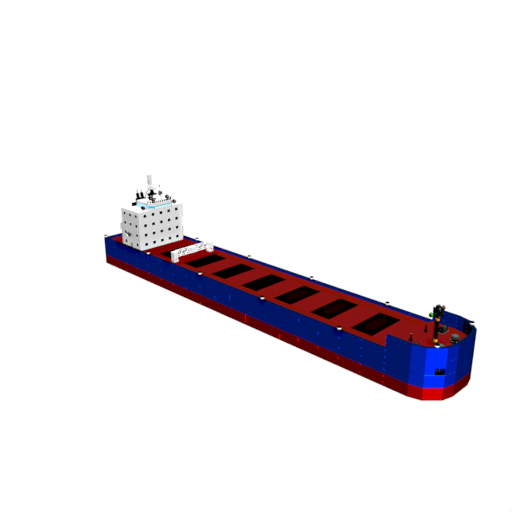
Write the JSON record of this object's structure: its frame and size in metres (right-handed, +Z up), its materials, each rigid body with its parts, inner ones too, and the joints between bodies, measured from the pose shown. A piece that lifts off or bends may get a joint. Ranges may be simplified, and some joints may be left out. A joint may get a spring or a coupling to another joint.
{
  "type": "1:10 scale model bulk carrier ship",
  "caption": "Bulk carrier model with box hull, blunt faceted bow, lift-off hatch covers, travelling deck gantry, aft deckhouse, foremast, propeller and rudder.",
  "frame": {"origin": "on the base plane under the middle of the hull", "axes": "+X towards the bow, +Y to port, +Z up"},
  "size_m": [19.62, 3.2, 4.93],
  "materials": {
    "hull_red": "matt antifouling red",
    "hull_blue": "satin blue",
    "deck_red": "matt deck red",
    "cover_black": "matt black",
    "white_paint": "satin white",
    "glass_cyan": "tinted",
    "bronze": "satin",
    "steel": "worn",
    "lamp_brown": "satin",
    "black_paint": "satin"
  },
  "bodies": {
    "hull": {"hull_bottom": "hull_red", "skeg_starboard": "hull_red", "skeg_port": "hull_red", "hull_side_starboard": "hull_blue", "hull_side_port": "hull_blue", "hull_cross_1": "hull_blue", "hull_cross_2": "hull_blue", "hull_cross_3": "hull_blue", "hull_cross_4": "hull_blue", "hull_cross_5": "hull_blue", "hull_cross_6": "hull_blue", "hull_bow": "hull_blue", "hull_stern": "hull_blue", "main_deck": "deck_red", "forecastle_deck": "deck_red", "bulwark_starboard": "hull_blue", "bulwark_port": "hull_blue", "bulwark_stern": "hull_blue", "forecastle_bulwark_starboard": "hull_blue", "forecastle_bulwark_port": "hull_blue", "forecastle_bulwark_front": "hull_blue", "accommodation": "white_paint", "wheelhouse_base": "white_paint", "wheelhouse_glass": "glass_cyan", "wheelhouse_roof": "white_paint", "main_mast": "white_paint", "radar_column": "black_paint", "exhausts": "black_paint", "searchlight_1": "lamp_brown", "searchlight_2": "lamp_brown", "searchlight_3": "lamp_brown", "searchlight_4": "lamp_brown", "foremast": "black_paint", "windlass_base_starboard": "black_paint", "windlass_base_port": "black_paint", "bow_post_starboard": "black_paint", "bow_post_port": "black_paint", "anchor_starboard": "bronze", "anchor_port": "bronze"},
    "gantry": {"gantry_frame": "white_paint"},
    "gantry_wheel_1": {"gantry_wheel_1": "black_paint"},
    "gantry_wheel_2": {"gantry_wheel_2": "black_paint"},
    "gantry_wheel_3": {"gantry_wheel_3": "black_paint"},
    "gantry_wheel_4": {"gantry_wheel_4": "black_paint"},
    "cover_1": {"hatch_cover_1": "cover_black"},
    "cover_2": {"hatch_cover_2": "cover_black"},
    "cover_3": {"hatch_cover_3": "cover_black"},
    "cover_4": {"hatch_cover_4": "cover_black"},
    "cover_5": {"hatch_cover_5": "cover_black"},
    "cover_6": {"hatch_cover_6": "cover_black"},
    "cover_7": {"hatch_cover_7": "cover_black"},
    "propeller": {"propeller": "bronze"},
    "rudder": {"rudder": "hull_red"},
    "radar": {"radar_scanner": "black_paint"},
    "door_starboard": {"door_starboard": "white_paint"},
    "windlass_starboard": {"windlass_drum_starboard": "steel"},
    "capstan_starboard": {"capstan_starboard": "bronze"},
    "door_port": {"door_port": "white_paint"},
    "windlass_port": {"windlass_drum_port": "steel"},
    "capstan_port": {"capstan_port": "bronze"}
  },
  "joints": [
    {"name": "gantry_travel", "type": "slide", "parent": "hull", "child": "gantry", "axis": [1, 0, 0], "range_m": [-2.25, 11.7]},
    {"name": "gantry_wheel_1_roll", "type": "hinge", "parent": "gantry", "child": "gantry_wheel_1", "pos_m": [-4.348, -1.11, 1.3693], "axis": [0, 1, 0], "continuous": true},
    {"name": "gantry_wheel_2_roll", "type": "hinge", "parent": "gantry", "child": "gantry_wheel_2", "pos_m": [-4.472, -1.11, 1.3693], "axis": [0, 1, 0], "continuous": true},
    {"name": "gantry_wheel_3_roll", "type": "hinge", "parent": "gantry", "child": "gantry_wheel_3", "pos_m": [-4.348, 1.11, 1.3693], "axis": [0, 1, 0], "continuous": true},
    {"name": "gantry_wheel_4_roll", "type": "hinge", "parent": "gantry", "child": "gantry_wheel_4", "pos_m": [-4.472, 1.11, 1.3693], "axis": [0, 1, 0], "continuous": true},
    {"name": "cover_1_lift", "type": "slide", "parent": "hull", "child": "cover_1", "axis": [0, 0, 1], "range_m": [0, 0.15]},
    {"name": "cover_2_lift", "type": "slide", "parent": "hull", "child": "cover_2", "axis": [0, 0, 1], "range_m": [0, 0.15]},
    {"name": "cover_3_lift", "type": "slide", "parent": "hull", "child": "cover_3", "axis": [0, 0, 1], "range_m": [0, 0.15]},
    {"name": "cover_4_lift", "type": "slide", "parent": "hull", "child": "cover_4", "axis": [0, 0, 1], "range_m": [0, 0.15]},
    {"name": "cover_5_lift", "type": "slide", "parent": "hull", "child": "cover_5", "axis": [0, 0, 1], "range_m": [0, 0.15]},
    {"name": "cover_6_lift", "type": "slide", "parent": "hull", "child": "cover_6", "axis": [0, 0, 1], "range_m": [0, 0.15]},
    {"name": "cover_7_lift", "type": "slide", "parent": "hull", "child": "cover_7", "axis": [0, 0, 1], "range_m": [0, 0.15]},
    {"name": "propeller_turn", "type": "hinge", "parent": "hull", "child": "propeller", "pos_m": [-9.13, 0, 0.245], "axis": [1, 0, 0], "continuous": true},
    {"name": "rudder_turn", "type": "hinge", "parent": "hull", "child": "rudder", "pos_m": [-9.45, 0, 0.445], "axis": [0, 0, 1], "range_deg": [-35, 35]},
    {"name": "radar_turn", "type": "hinge", "parent": "hull", "child": "radar", "pos_m": [-7.43, -0.07, 3.895], "axis": [0, 0, 1], "continuous": true},
    {"name": "door_starboard_open", "type": "hinge", "parent": "hull", "child": "door_starboard", "pos_m": [-7.67, -1.34, 1.35], "axis": [0, 0, -1], "range_deg": [0, 95]},
    {"name": "windlass_starboard_turn", "type": "hinge", "parent": "hull", "child": "windlass_starboard", "pos_m": [8.455, -0.97, 1.5686], "axis": [0, 1, 0], "continuous": true},
    {"name": "capstan_starboard_turn", "type": "hinge", "parent": "hull", "child": "capstan_starboard", "pos_m": [9.17, -0.51, 1.4389], "axis": [0, 0, 1], "continuous": true},
    {"name": "door_port_open", "type": "hinge", "parent": "hull", "child": "door_port", "pos_m": [-7.67, 1.34, 1.35], "axis": [0, 0, 1], "range_deg": [0, 95]},
    {"name": "windlass_port_turn", "type": "hinge", "parent": "hull", "child": "windlass_port", "pos_m": [8.455, 0.97, 1.5686], "axis": [0, 1, 0], "continuous": true},
    {"name": "capstan_port_turn", "type": "hinge", "parent": "hull", "child": "capstan_port", "pos_m": [9.17, 0.51, 1.4389], "axis": [0, 0, 1], "continuous": true}
  ]
}
